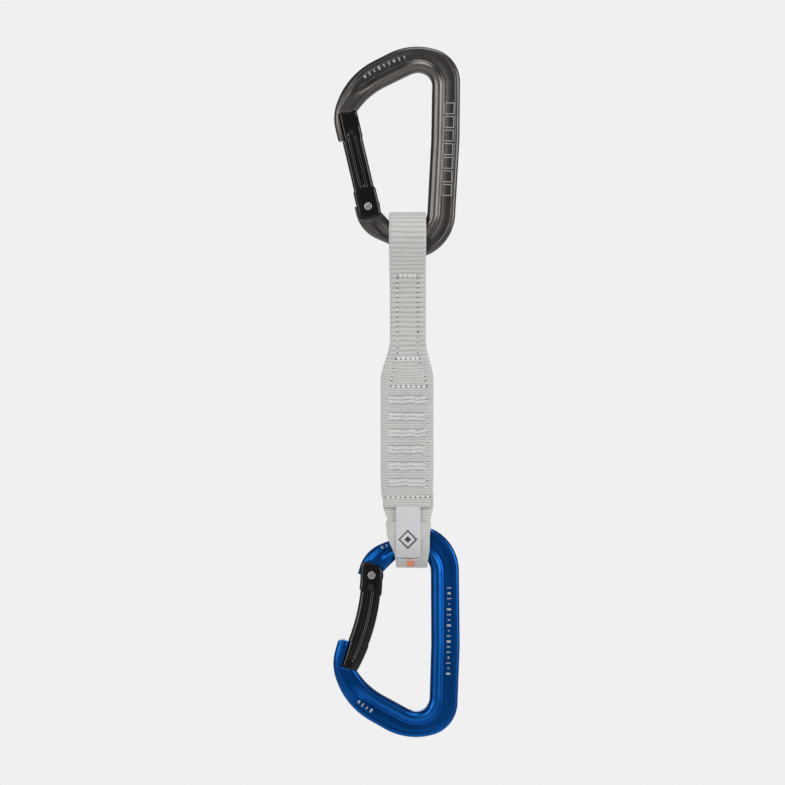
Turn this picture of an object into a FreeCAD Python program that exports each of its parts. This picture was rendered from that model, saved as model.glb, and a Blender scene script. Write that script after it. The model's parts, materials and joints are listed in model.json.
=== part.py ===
# Climbing quickdraw: two keylock carabiners joined by a sewn webbing sling.
#
# Millimetres, +Z up, front face towards -Y. The draw hangs from the upper
# carabiner, and the origin is the crown of that carabiner's basket, on the
# inside, where a hanger bears.
#
# Each carabiner is built in a frame of its own: basket crown at the origin,
# spine towards +X, nose end up. A gate is built in a frame at its pivot, with
# +Z along the gate and +X towards the inside of the carabiner.
import FreeCAD, Part
import math
import os

from FreeCAD import Placement, Rotation, Vector

os.makedirs("parts", exist_ok=True)

# --------------------------------------------------------------------- gate
GATE_LENGTH = 45.6         # pivot to the end face
GATE_LEAN = 16.0           # degrees from the spine's direction
GATE_WIDTH = 11.0
GATE_THICK = 9.0
GATE_ROUND = 1.6
GATE_END_ROUND = 0.8
GATE_BOW = 3.2             # how far the bent gate bows inwards
GATE_BOW_END = 0.8         # what is left of the bow at its end face
GATE_BOW_SHARE = 0.52      # where it bows most, as a share of its length
NOSE_GAP = 0.6             # between the gate's end and the nose
SIDE_GAP = 0.2             # each side of a tang or tongue
SLOT_GAP = 0.4             # between the tongue's inner edge and the end of its slot
TIP_GAP = 0.6              # between the tongue's tip and the foot of its slot
EAR_STEP = 1.8             # outer edge of the ears set back beside the nose
RECESS_WIDTH = 3.8
RECESS_DEPTH = 0.7
RECESS_START = 12.0        # from the pivot
RECESS_STOP = 7.6          # from the end face
RECESS_BOW_END = 2.2       # bow of the bent gate's recess at its two ends
CLEVIS_DEPTH = 6.7
BORE_R = 1.65              # spring bore
BORE_END = 20.0

RIVET_R = 1.5
RIVET_HEAD_R = 1.8
RIVET_HEAD = 0.35
RIVET_HEAD_ROUND = 0.25
RIVET_DIMPLE_R = 0.55
PIVOT_CLEAR = 0.05
PUSHER_CLEAR = 0.07
PUSHER_FOOT_R = 1.2
PUSHER_FOOT_GAP = 0.155    # between the rounded foot and the tang's head
PUSHER_NECK = 1.65
PUSHER_LENGTH = 4.0
SPRING_WIRE_R = 0.22
SPRING_SIDE_GAP = 0.23     # between the coils and the bore
SPRING_TURNS = 7
SPRING_SEAT_GAP = 0.05

# ---------------------------------------------------------------- carabiner
NOSE_END = (-34.4, -21.0)  # middle of the closed gate's end face
PIVOT_X = NOSE_END[0] + GATE_LENGTH * math.sin(math.radians(GATE_LEAN))
PIVOT_Z = NOSE_END[1] - GATE_LENGTH * math.cos(math.radians(GATE_LEAN))
# Outline corners as (x, z, corner radius), nose end first. Those of the pivot
# end keep their places from the pivot.
OUTER = [(20.0, -31.0, 60.0), (18.5, 8.5, 16.0), (-5.5, 14.0, 30.0), (-34.5, -2.5, 35.0),
         (-41.0, -22.5, 22.0), (PIVOT_X - 3.2, PIVOT_Z - 11.8, 17.0),
         (5.0, PIVOT_Z - 23.4, 10.0), (19.5, PIVOT_Z - 13.7, 22.0)]
INNER = [(6.5, -32.0, 60.0), (5.5, 2.5, 6.5), (-4.5, -1.0, 14.5), (-25.5, -12.5, 34.0),
         (-31.5, -24.0, 3.0), (PIVOT_X + 4.8, PIVOT_Z - 0.8, 6.0), (6.2, PIVOT_Z - 24.0, 9.5)]
WEB_THICK = 7.2            # flat web of the forging
WEB_ROUND = 1.4            # radius of the outer rim
BEAD_WIDTH = 5.4           # thicker bead that the rope and the sling bear on
BEAD_THICK = 10.0
BEAD_ROUND = 2.4
TANG_THICK = 4.4           # thin ends that the gate straddles
TANG_ROUND = 4.2           # rounded head that the pusher rides on
TANG_OFFSET = 1.5          # its centre, inwards of the pivot
POCKET_R = 7.0             # milled pocket round the pivot, for the gate's cheeks
HOOK_RISE = 1.2            # outer lip beside the pivot
TONGUE_IN = 0.8            # inner edge of the nose tongue, from the gate's line
TONGUE_LENGTH = 12.7
TONGUE_ROUND = 2.2
TONGUE_ROOT = 1.5          # how far the tongue runs into the nose
WINDOW_OUT = 15.4          # gate window, outwards and inwards of the gate's line
WINDOW_IN = 13.2
WINDOW_DROP = 0.4          # window's lower edge below the pivot, on the inside
TOP_TILT = 2.7             # degrees that the upper carabiner hangs off the vertical

# -------------------------------------------------------------------- sling
SLING_X = -6.3             # centre line of the sling
PLY = 2.3                  # webbing thickness
LOOP_WIDTH = 17.2
LOOP_CLEAR = 0.3           # between a loop and the bar that it goes round
UPPER_BAR_DROP = 13.5      # gate pivot to the upper loop's axis
THROAT_RUN = 10.3          # loop's underside to where the two plies meet
TWIST_RUN = 15.0           # from there to the twisting plane
TWIST_GAP = 0.6
FLEX_RUN = 21.0            # twisting plane to the bend above the grip
FLEX_ANGLE = 45.0
GRIP_WIDTH = 24.7
GRIP_TAPER = 12.0          # length over which the webbing widens
GRIP_LENGTH = 70.8
CORE_THICK = 1.4
CORE_WIDTH = 17.0
CORE_TOP_WIDTH = 16.0
BEND_CLEAR = 0.15
KEEPER_ROCK = 3.0          # degrees that the lower carabiner rocks each way
LOWER_PLY = 1.7
LOWER_THROAT = 1.0         # loop's top to where its two plies meet
HEM_RUN = 5.2              # hem bend to the lower loop's crown
LOWER_BAR_X = 4.9          # sling's line to the lower carabiner's basket crown
LOWER_BAR_DROP = 12.9      # gate pivot to the lower loop's axis
KEEPER_THICK = 0.8
KEEPER_WIDTH = 18.6
KEEPER_RISE = 1.9          # keeper's upper edge above the inside of the loop
LABEL_WIDTH = 11.9
LABEL_THICK = 0.5
LABEL_BOTTOM = -7.0
TAB_WIDTH = 3.3
TAB_LENGTH = 3.6
TAB_THICK = 0.6

STITCH = 1.5               # length of one visible stitch
STITCH_WIDTH = 0.45
STITCH_PITCH = 2.4
STITCH_HIGH = 0.3
NECK_SEAM_HALF = 4.9       # two long seams, each side of the centre
NECK_SEAM_TOP = 18.5       # loop axis to the first cross seam
BARTACK_WIDTH = 18.0
BARTACK_HIGH = 3.1
BARTACK_THICK = 0.5
BARTACK_COUNT = 6
BARTACK_PITCH = 7.84
BARTACK_FIRST = 20.8       # bend above the grip to the first bar tack
HEM_SEAM = 4.8             # hem row, up from the hem edge
HEM_SEAM_SIDE = 1.0        # webbing's edge to the end of the hem row
FIRST_SEAM_RISE = 6.4      # first bar tack up to the cross seam above it
EDGE_SEAM = 1.0            # bar tacks' ends to the long seam

REACH_STEP = 0.02          # how finely the bars are measured for their loops
PAST = 30.0                # how far a cutter runs past what it cuts
LIFT = 1e-3                # smallest step that keeps two cutters apart


# ------------------------------------------------------------------ helpers
def at(x, z, y=0.0):
    """A point from its place in the front view."""
    return Vector(x, y, z)


def rounded(corners):
    """Closed wire through corners (x, z, radius), each rounded by a tangent arc."""
    ends = []
    for i, (x, z, radius) in enumerate(corners):
        here = at(x, z)
        back = (at(*corners[i - 1][:2]) - here).normalize()
        ahead = (at(*corners[(i + 1) % len(corners)][:2]) - here).normalize()
        half = back.getAngle(ahead) / 2
        run = radius / math.tan(half)
        axis = (back + ahead).normalize()
        middle = here + axis * (radius / math.sin(half) - radius)
        ends.append((here + back * run, middle, here + ahead * run))
    edges = []
    for i, (start, middle, end) in enumerate(ends):
        leave = ends[i - 1][2]
        if (start - leave).Length > LIFT:
            edges.append(Part.LineSegment(leave, start).toShape())
        edges.append(Part.Arc(start, middle, end).toShape())
    return Part.Wire(Part.__sortEdges__(edges))


def slab(wire, thick, middle=0.0):
    """The inside of a front-view wire, thick along Y and centred on middle."""
    face = Part.Face(wire)
    face.translate(Vector(0, middle - thick / 2, 0))
    return face.extrude(Vector(0, thick, 0))


def box(x0, x1, y0, y1, z0, z1):
    return Part.makeBox(x1 - x0, y1 - y0, z1 - z0, Vector(x0, y0, z0))


def rim_edges(solid, thick, skip=None):
    """Edges that lie in the front or back face of a slab."""
    found = []
    for edge in solid.Edges:
        bounds = edge.BoundBox
        flat = bounds.YLength < LIFT and abs(abs(bounds.YMin) - thick / 2) < LIFT
        if flat and not (skip and skip(edge)):
            found.append(edge)
    return found


def across(radius, half, x=0.0, z=0.0):
    """Cylinder along Y, both ways from the middle plane."""
    return Part.makeCylinder(radius, 2 * half, Vector(x, -half, z), Vector(0, 1, 0))


def gate_frame():
    """From a gate's own frame to its carabiner's."""
    return Placement(at(PIVOT_X, PIVOT_Z), Rotation(Vector(0, 1, 0), -GATE_LEAN))


def upper_frame():
    return Placement(Vector(), Rotation(Vector(0, 1, 0), TOP_TILT))


def lower_frame():
    turn = Rotation(Vector(1, 0, 0), 180)
    return Placement(Vector(SLING_X + LOWER_BAR_X, 0, LOWER_AXIS_Z + PIVOT_Z - LOWER_BAR_DROP), turn)


def moved(shape, frame):
    shape.Placement = frame.multiply(shape.Placement)
    return shape


# ------------------------------------------------------------ carabiner body
def carabiner_body():
    """Forged body: a flat web with a thicker bead along the inside."""
    inner = rounded(INNER)
    grown = inner.makeOffset2D(BEAD_WIDTH)
    middle = inner.makeOffset2D(BEAD_WIDTH / 2)
    web = slab(rounded(OUTER), WEB_THICK)
    web = web.makeFillet(WEB_ROUND, rim_edges(web, WEB_THICK))
    web = web.cut(slab(middle, 2 * WEB_THICK))
    bead = slab(grown, BEAD_THICK).cut(slab(inner, 2 * BEAD_THICK))
    bead = bead.makeFillet(BEAD_ROUND, rim_edges(bead, BEAD_THICK))
    ring = web.fuse(bead)

    gate = gate_frame()
    reach = GATE_LENGTH + NOSE_GAP
    window = Part.Face(Part.makePolygon([
        at(-WINDOW_OUT, HOOK_RISE), at(0, HOOK_RISE), at(0, -WINDOW_DROP),
        at(WINDOW_IN, -WINDOW_DROP), at(WINDOW_IN, PAST * 2),
        at(-WINDOW_OUT, PAST * 2), at(-WINDOW_OUT, HOOK_RISE)]))
    window.translate(Vector(0, -PAST, 0))
    window = window.extrude(Vector(0, 2 * PAST, 0)).common(across(reach, PAST))
    pocket = across(POCKET_R, PAST).cut(across(2 * POCKET_R, TANG_THICK / 2))
    body = ring.cut(moved(window.fuse(pocket), gate))

    head = across(TANG_ROUND, TANG_THICK / 2, TANG_OFFSET)
    root = reach + TONGUE_ROOT
    tip = reach - TONGUE_LENGTH
    blade = rounded([(TONGUE_IN, root, SIDE_GAP), (-WINDOW_OUT, root, SIDE_GAP),
                     (-WINDOW_OUT, tip, TONGUE_ROUND), (TONGUE_IN, tip, TONGUE_ROUND)])
    tongue = moved(slab(blade, TANG_THICK), gate).common(slab(rounded(OUTER), TANG_THICK))
    body = body.fuse([moved(head, gate), tongue])
    return body.cut(moved(across(RIVET_R + PIVOT_CLEAR, PAST), gate)).removeSplitter()


# -------------------------------------------------------------------- gates
def straight_outline():
    half = GATE_WIDTH / 2
    return rounded([(-half, -half, half - LIFT), (half, -half, half - LIFT),
                    (half, GATE_LENGTH, GATE_END_ROUND), (-half, GATE_LENGTH, GATE_END_ROUND)])


def bent_outline():
    """Round foot at the pivot, and two sides that bow inwards together."""
    half = GATE_WIDTH / 2
    end = GATE_BOW_END
    inner = Part.Arc(at(half, 0), at(half + GATE_BOW, GATE_BOW_SHARE * GATE_LENGTH), at(half + end, GATE_LENGTH))
    top = Part.LineSegment(at(half + end, GATE_LENGTH), at(end - half, GATE_LENGTH))
    outer = Part.Arc(at(end - half, GATE_LENGTH), at(GATE_BOW - half, GATE_BOW_SHARE * GATE_LENGTH), at(-half, 0))
    foot = Part.Arc(at(-half, 0), at(0, -half), at(half, 0))
    return Part.Wire([inner.toShape(), top.toShape(), outer.toShape(), foot.toShape()])


def gate(outline):
    """Gate bar, slotted at both ends, with rivet hole, spring bore and face recesses."""
    bar = slab(outline, GATE_THICK)
    bar = bar.makeFillet(GATE_ROUND, rim_edges(bar, GATE_THICK))
    slot = TANG_THICK / 2 + SIDE_GAP
    bar = bar.cut(box(-PAST, PAST, -slot, slot, -PAST, CLEVIS_DEPTH))
    nose = GATE_LENGTH + NOSE_GAP - TONGUE_LENGTH - TIP_GAP
    bar = bar.cut(box(-PAST, TONGUE_IN + SLOT_GAP, -slot, slot, nose, PAST * 2))
    bar = bar.cut(box(-PAST, EAR_STEP - GATE_WIDTH / 2, -PAST, PAST, nose, PAST * 2))
    mouth = CLEVIS_DEPTH - SLOT_GAP
    bar = bar.cut(Part.makeCylinder(BORE_R, BORE_END - mouth, at(0, mouth)))
    return bar.cut(across(RIVET_R, PAST))


def recess(bow=0.0):
    """The long recess in a gate's two faces, following its bow."""
    low, high = RECESS_START, GATE_LENGTH - RECESS_STOP
    half = RECESS_WIDTH / 2
    ends = RECESS_BOW_END if bow else 0.0

    def side(x, start, end):
        if not bow:
            return Part.LineSegment(at(x, start), at(x, end))
        return Part.Arc(at(x + ends, start), at(x + bow, (low + high) / 2), at(x + ends, end))

    top = Part.Arc(at(half + ends, high), at(ends, high + half), at(ends - half, high))
    foot = Part.Arc(at(ends - half, low), at(ends, low - half), at(half + ends, low))
    wire = Part.Wire([s.toShape() for s in (side(half, low, high), top, side(-half, high, low), foot)])
    return slab(wire, 2 * GATE_THICK).cut(slab(wire, GATE_THICK - 2 * RECESS_DEPTH))


def rivet():
    """Gate pivot rivet with a dimpled head each side."""
    half = GATE_THICK / 2
    pin = across(RIVET_R, half)
    for side in (-1, 1):
        head = Part.makeCylinder(RIVET_HEAD_R, RIVET_HEAD, Vector(0, side * half, 0), Vector(0, side, 0))
        rim = [e for e in head.Edges if abs(abs(e.BoundBox.YMin) - half - RIVET_HEAD) < LIFT
               and e.BoundBox.YLength < LIFT]
        head = head.makeFillet(RIVET_HEAD_ROUND, rim)
        dimple = Part.makeCylinder(RIVET_DIMPLE_R, PAST, Vector(0, side * half, 0), Vector(0, side, 0))
        pin = pin.fuse(head.cut(dimple))
    return pin.removeSplitter()


def foot_place():
    """How far from the pivot the pusher's rounded foot is centred, on the tang's head."""
    return math.sqrt((TANG_ROUND + PUSHER_FOOT_R + PUSHER_FOOT_GAP) ** 2 - TANG_OFFSET ** 2)


def pusher():
    """Spring-loaded pin whose rounded foot rides on the tang's head."""
    foot = Part.makeSphere(PUSHER_FOOT_R, at(0, foot_place()))
    neck = Part.makeCylinder(PUSHER_FOOT_R, PUSHER_NECK, at(0, foot_place()))
    stem = Part.makeCylinder(BORE_R - PUSHER_CLEAR, PUSHER_LENGTH, at(0, foot_place() + PUSHER_NECK))
    return foot.fuse([neck, stem]).removeSplitter()


def gate_spring():
    """Compression spring between the pusher and the end of the bore."""
    low = foot_place() + PUSHER_NECK + PUSHER_LENGTH + SPRING_WIRE_R + SPRING_SEAT_GAP
    high = BORE_END - SPRING_WIRE_R - SPRING_SEAT_GAP
    pitch = (high - low) / SPRING_TURNS
    mean = BORE_R - SPRING_SIDE_GAP - SPRING_WIRE_R
    path = Part.makeHelix(pitch, high - low, mean)
    path.translate(Vector(0, 0, low))
    section = Part.Wire(Part.makeCircle(SPRING_WIRE_R, Vector(mean, 0, low), Vector(0, 1, 0)))
    return Part.Wire(path).makePipeShell([section], True, True)


# -------------------------------------------------------------------- sling
def profile(points):
    """Closed wire through points in the side view, given as (y, z) and ("arc", y, z, y, z)."""
    edges = []
    here = Vector(0, *points[0])
    for step in points[1:]:
        if step[0] == "arc":
            there = Vector(0, step[3], step[4])
            edges.append(Part.Arc(here, Vector(0, step[1], step[2]), there).toShape())
        else:
            there = Vector(0, *step)
            edges.append(Part.LineSegment(here, there).toShape())
        here = there
    return Part.Wire(edges)


def strap(wire, width):
    """The inside of a side-view wire, as wide as the webbing."""
    face = Part.Face(wire)
    face.translate(Vector(SLING_X - width / 2, 0, 0))
    return face.extrude(Vector(width, 0, 0))


def touch(y, z, radius, axis):
    """Where a line from (y, z) is tangent to the circle round (0, axis), on y's side."""
    away = math.hypot(y, z - axis)
    side = math.copysign(1, y) if y else 1
    base = math.atan2(z - axis, y)
    turn = math.acos(radius / away)
    angle = base - turn * side if z > axis else base + turn * side
    return radius * math.cos(angle), axis + radius * math.sin(angle)


def teardrop(half, point_z, radius, axis, end_z=None):
    """Loop outline: round about the axis, drawn in to half width at point_z.

    With end_z, the two sides run on from there, straight and parallel.
    """
    far = axis + math.copysign(radius, axis - point_z)
    y, z = touch(half, point_z, radius, axis)
    points = [(-half, point_z), (-y, z), ("arc", 0, far, y, z), (half, point_z)]
    if end_z is not None:
        points += [(half, end_z), (-half, end_z)]
    if half:
        points.append((-half, point_z))
    return profile(points)


def stitches(places, face, long_way):
    """Raised stitches at (x, z) on both faces, face mm from the middle plane."""
    solids = []
    dx, dz = (STITCH_WIDTH, STITCH) if long_way else (STITCH, STITCH_WIDTH)
    for x, z in places:
        for low in (-face - STITCH_HIGH, face):
            solids.append(box(x - dx / 2, x + dx / 2, low, low + STITCH_HIGH, z - dz / 2, z + dz / 2))
    return solids


def row(z, width):
    """Places of the stitches in one cross seam."""
    count = int((width - STITCH) / STITCH_PITCH)
    return [(SLING_X + (i - count / 2) * STITCH_PITCH, z) for i in range(count + 1)]


def column(x, top, bottom):
    count = int((top - bottom - STITCH) / STITCH_PITCH)
    middle = (top + bottom) / 2
    return [(x, middle + (i - count / 2) * STITCH_PITCH) for i in range(count + 1)]


def tapered(width_top, width_bottom, top, taper, bottom, y0, y1):
    """Flat webbing that widens over the first taper mm below top."""
    a, b = width_top / 2, width_bottom / 2
    points = [(-a, top), (a, top), (b, top - taper), (b, bottom), (-b, bottom), (-b, top - taper), (-a, top)]
    face = Part.Face(Part.makePolygon([Vector(SLING_X + x, y0, z) for x, z in points]))
    return face.extrude(Vector(0, y1 - y0, 0))


def bend_gap(half_thick, degrees):
    """Room that each side of a bend needs to fold by this angle."""
    return half_thick * math.tan(math.radians(degrees) / 2) + BEND_CLEAR


def bar_reach(body, axis, width, line, rocks=(0,)):
    """Farthest that the carabiner comes from a loop's axis, within the loop's width.

    axis and line are the loop's height and centre line in the body's frame, and
    rocks the angles that the body is turned by about the axis's middle.
    """
    reach = 0.0
    half = width / 2
    beside = box(line - half, line + half, -PAST, PAST, axis - PAST / 2, axis + PAST / 2)
    for angle in rocks:
        turn = Placement(Vector(), Rotation(Vector(0, 1, 0), angle), at(line, axis))
        corners, _ = moved(body.copy(), turn).common(beside).tessellate(REACH_STEP)
        reach = max([reach] + [math.hypot(p.y, p.z - axis) for p in corners])
    return reach


parts = {}

# ------------------------------------------------------------ sizes of loops
body = carabiner_body()
UPPER_BAR_Z = PIVOT_Z - UPPER_BAR_DROP
LOOP_R = bar_reach(moved(body.copy(), upper_frame()), UPPER_BAR_Z, LOOP_WIDTH, SLING_X) + LOOP_CLEAR
LOWER_R = LOOP_CLEAR + bar_reach(body, PIVOT_Z - LOWER_BAR_DROP, LOOP_WIDTH, -LOWER_BAR_X,
                                 (-KEEPER_ROCK, 0, KEEPER_ROCK))

# Heights along the sling, from the upper bar down.
THROAT_Z = UPPER_BAR_Z - LOOP_R - THROAT_RUN
TWIST_Z = THROAT_Z - TWIST_RUN
FLEX_Z = TWIST_Z - FLEX_RUN
GRIP_HALF = PLY + CORE_THICK / 2
FLEX_ROOM = bend_gap(GRIP_HALF + STITCH_HIGH, FLEX_ANGLE)
HEM_Z = FLEX_Z - FLEX_ROOM - GRIP_LENGTH
LOWER_HINGE_ROOM = bend_gap(GRIP_HALF + KEEPER_THICK + LABEL_THICK, FLEX_ANGLE)
LOWER_HINGE_Z = HEM_Z - LOWER_HINGE_ROOM
LOWER_AXIS_Z = LOWER_HINGE_Z - HEM_RUN - LOWER_PLY - LOWER_R

# ------------------------------------------------------ metal parts, twice
gates = {
    "top": gate(straight_outline()).cut(recess()),
    "bottom": gate(bent_outline()).cut(recess(GATE_BOW)),
}
for end, frame in (("top", upper_frame()), ("bottom", lower_frame())):
    parts[end + "_carabiner"] = moved(body.copy(), frame)
    inside_gate = {"gate": gates[end], "rivet": rivet(), "pusher": pusher(), "gate_spring": gate_spring()}
    for name, shape in inside_gate.items():
        parts[end + "_" + name] = moved(moved(shape, gate_frame()), frame)

# --------------------------------------------------------------- upper loop
outer = teardrop(PLY, THROAT_Z - PLY, LOOP_R + PLY, UPPER_BAR_Z, TWIST_Z + TWIST_GAP)
void = teardrop(0, THROAT_Z, LOOP_R, UPPER_BAR_Z)
parts["upper_loop_webbing"] = strap(outer, LOOP_WIDTH).cut(strap(void, LOOP_WIDTH))
seam_x = [SLING_X - NECK_SEAM_HALF, SLING_X + NECK_SEAM_HALF]
neck_top = THROAT_Z - PLY - STITCH
upper_seams = stitches(row(neck_top, 2 * NECK_SEAM_HALF), PLY, False)
for x in seam_x:
    upper_seams += stitches(column(x, neck_top - STITCH, TWIST_Z + TWIST_GAP), PLY, True)
parts["upper_loop_stitching"] = Part.makeCompound(upper_seams)

# --------------------------------------------------------------------- neck
neck_low = FLEX_Z + FLEX_ROOM
for name, y0 in (("neck_front_webbing", -PLY), ("neck_back_webbing", 0.0)):
    parts[name] = box(SLING_X - LOOP_WIDTH / 2, SLING_X + LOOP_WIDTH / 2, y0, y0 + PLY,
                      neck_low, TWIST_Z - TWIST_GAP)
neck_seams = stitches(row(neck_low + STITCH, 2 * NECK_SEAM_HALF), PLY, False)
for x in seam_x:
    neck_seams += stitches(column(x, TWIST_Z - TWIST_GAP, neck_low + 2 * STITCH), PLY, True)
parts["neck_stitching"] = Part.makeCompound(neck_seams)

# --------------------------------------------------------------------- grip
grip_top = FLEX_Z - FLEX_ROOM
core_half = CORE_THICK / 2
parts["grip_front_webbing"] = tapered(LOOP_WIDTH, GRIP_WIDTH, grip_top, GRIP_TAPER, HEM_Z,
                                      -GRIP_HALF, -core_half)
parts["grip_back_webbing"] = tapered(LOOP_WIDTH, GRIP_WIDTH, grip_top, GRIP_TAPER, HEM_Z,
                                     core_half, GRIP_HALF)
parts["grip_core_webbing"] = tapered(CORE_TOP_WIDTH, CORE_WIDTH, grip_top, GRIP_TAPER, HEM_Z,
                                     -core_half, core_half)
tacks = []
for i in range(BARTACK_COUNT):
    z = FLEX_Z - BARTACK_FIRST - i * BARTACK_PITCH
    for low in (-GRIP_HALF - BARTACK_THICK, GRIP_HALF):
        tacks.append(box(SLING_X - BARTACK_WIDTH / 2, SLING_X + BARTACK_WIDTH / 2,
                         low, low + BARTACK_THICK, z - BARTACK_HIGH / 2, z + BARTACK_HIGH / 2))
parts["grip_bar_tacks"] = Part.makeCompound(tacks)
first_row = FLEX_Z - BARTACK_FIRST + FIRST_SEAM_RISE
hem_row = HEM_Z + HEM_SEAM
grip_seams = stitches(row(first_row, BARTACK_WIDTH), GRIP_HALF, False)
grip_seams += stitches(row(hem_row, GRIP_WIDTH - 2 * HEM_SEAM_SIDE), GRIP_HALF, False)
edge_x = SLING_X + BARTACK_WIDTH / 2 + EDGE_SEAM
grip_seams += stitches(column(edge_x, first_row - STITCH, hem_row + STITCH), GRIP_HALF, True)
parts["grip_edge_stitching"] = Part.makeCompound(grip_seams)

# --------------------------------------------------------------- lower loop
loop_top = LOWER_HINGE_Z - LOWER_HINGE_ROOM
outer = teardrop(LOWER_PLY, loop_top, LOWER_R + LOWER_PLY, LOWER_AXIS_Z)
void = teardrop(0, loop_top - LOWER_THROAT, LOWER_R, LOWER_AXIS_Z)
parts["lower_loop_webbing"] = strap(outer, LOOP_WIDTH).cut(strap(void, LOOP_WIDTH))


def lower_skin(inside, thick, width, top, bottom):
    """A layer wrapped round the lower loop, inside mm out from the webbing."""
    under = LOWER_PLY + inside
    over = under + thick
    layer = strap(teardrop(over, loop_top, LOWER_R + over, LOWER_AXIS_Z), width)
    layer = layer.cut(strap(teardrop(under, loop_top, LOWER_R + under, LOWER_AXIS_Z), 2 * width))
    keep = box(SLING_X - PAST, SLING_X + PAST, -PAST, PAST, LOWER_AXIS_Z + bottom, LOWER_AXIS_Z + top)
    return layer.common(keep)


keeper_top = LOWER_R + KEEPER_RISE
low_end = -LOWER_R - LOWER_PLY - PAST
parts["keeper"] = lower_skin(0, KEEPER_THICK, KEEPER_WIDTH, keeper_top, low_end)
front = box(SLING_X - PAST, SLING_X + PAST, -PAST, 0, LOWER_AXIS_Z - PAST, LOWER_AXIS_Z + PAST)
label = lower_skin(KEEPER_THICK, LABEL_THICK, LABEL_WIDTH, keeper_top, LABEL_BOTTOM)
parts["label"] = label.common(front)
tab = lower_skin(KEEPER_THICK, TAB_THICK, TAB_WIDTH, LABEL_BOTTOM, LABEL_BOTTOM - TAB_LENGTH)
parts["pull_tab"] = tab.common(front)

for name, shape in parts.items():
    shape.exportStep("parts/" + name + ".step")
    print(name, "solids", len(shape.Solids), "volume", round(shape.Volume, 1), "valid", shape.isValid())
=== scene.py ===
import bmesh
import bpy
import json
import math
from mathutils import Matrix, Vector, noise
from mathutils.bvhtree import BVHTree


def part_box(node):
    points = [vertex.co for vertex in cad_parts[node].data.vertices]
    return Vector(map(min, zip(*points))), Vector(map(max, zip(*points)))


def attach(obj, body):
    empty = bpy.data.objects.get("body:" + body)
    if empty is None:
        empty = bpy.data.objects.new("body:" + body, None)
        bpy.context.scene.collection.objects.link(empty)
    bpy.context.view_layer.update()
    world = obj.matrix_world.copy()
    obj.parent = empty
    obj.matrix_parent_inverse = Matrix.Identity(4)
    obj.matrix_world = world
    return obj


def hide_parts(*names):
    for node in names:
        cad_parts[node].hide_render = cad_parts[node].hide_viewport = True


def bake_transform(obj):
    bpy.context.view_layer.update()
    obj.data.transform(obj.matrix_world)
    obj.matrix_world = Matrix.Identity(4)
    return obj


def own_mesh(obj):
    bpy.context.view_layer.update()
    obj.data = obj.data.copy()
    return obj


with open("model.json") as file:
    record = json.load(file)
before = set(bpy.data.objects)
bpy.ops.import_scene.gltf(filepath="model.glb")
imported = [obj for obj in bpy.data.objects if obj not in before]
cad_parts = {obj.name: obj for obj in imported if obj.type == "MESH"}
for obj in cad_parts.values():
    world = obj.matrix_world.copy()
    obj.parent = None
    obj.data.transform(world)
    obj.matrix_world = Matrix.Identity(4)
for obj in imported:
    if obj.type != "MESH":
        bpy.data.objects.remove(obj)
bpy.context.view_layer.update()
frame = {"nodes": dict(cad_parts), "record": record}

# ------------------------------------------------------- carabiner bodies
# Two equal bodies, hot-forged from aluminium bar and anodised, one grey and
# one blue. A thick round bead runs along the inside, a thin flat web outside
# it, and the gate's window, pocket, nose tongue and pivot tang are milled.
MM = 0.001
LEAN = math.radians(16.0)
NOSE_END = Vector((-34.4, -21.0))
GATE_LENGTH = 45.6
NOSE_GAP = 0.3
TONGUE_LENGTH = 12.7
TANG_HALF = 2.2
TANG_HEAD_R = 4.2
NOSE_OUT = -7.0             # the nose's outer wall, in the gate's own frame
MOUTH_HALF = 4.25           # half width of the milled faces beside the gate
MOUTH_FLARE = 2.7
CUT_HALF = 7.0
POCKET_R = 7.0
PIVOT = NOSE_END + GATE_LENGTH * Vector((math.sin(LEAN), -math.cos(LEAN)))
OUTER = [(20.0, -31.0, 60.0), (18.5, 8.5, 16.0), (-5.5, 14.0, 30.0),
         (-34.5, -2.5, 35.0), (-41.0, -22.5, 22.0),
         (PIVOT.x - 3.2, PIVOT.y - 11.8, 17.0), (5.0, PIVOT.y - 23.4, 10.0),
         (19.5, PIVOT.y - 13.7, 22.0)]
INNER = [(6.5, -32.0, 60.0), (5.5, 2.5, 6.5), (-4.5, -1.0, 14.5),
         (-25.5, -12.5, 34.0), (-31.5, -24.0, 3.0),
         (PIVOT.x + 4.8, PIVOT.y - 0.8, 6.0), (6.2, PIVOT.y - 24.0, 9.5)]
# Section of the forging: distance in from an edge, half thickness, and the
# half thickness where the body is a plain facet beside the gate.
BEAD = [(0.0, 0.0, 0.0), (0.0, 1.3, 1.3), (0.05, 2.2, 2.4), (0.3, 3.05, 3.25),
        (0.8, 3.85, 3.95), (1.5, 4.5, 4.3), (2.3, 4.9, 4.45), (3.0, 5.0, 4.5),
        (3.7, 4.88, 4.5), (4.4, 4.5, 4.5), (5.0, 3.95, 4.5), (5.5, 3.4, 4.5),
        (5.95, 3.1, 4.5), (6.35, 3.05, 4.5), (6.6, 3.2, 4.5), (6.78, 3.42, 4.5)]
RIM = [(2.5, 3.42, 4.12), (2.15, 3.52, 4.02), (1.8, 3.6, 3.9), (1.4, 3.54, 3.74),
       (0.9, 3.28, 3.42), (0.42, 2.85, 2.95), (0.1, 2.25, 2.35), (0.0, 1.4, 1.4),
       (0.0, 0.0, 0.0)]
WEB_POINTS = 7
WEB_CROWN = 0.16
hinges = {j["name"]: j for j in frame["record"]["behaviour"]["joints"]}
upper_frame = Matrix.Rotation(math.radians(2.7), 4, "Y")
lower_pivot = Vector(hinges["bottom_gate_hinge"]["pos_m"])
lower_frame = Matrix.Translation(
    lower_pivot - MM * Vector((PIVOT.x, 0, -PIVOT.y))) @ Matrix.Rotation(math.pi, 4, "X")
gate_frame = Matrix.Translation(MM * Vector((PIVOT.x, 0, PIVOT.y))) @ Matrix.Rotation(-LEAN, 4, "Y")


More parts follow.
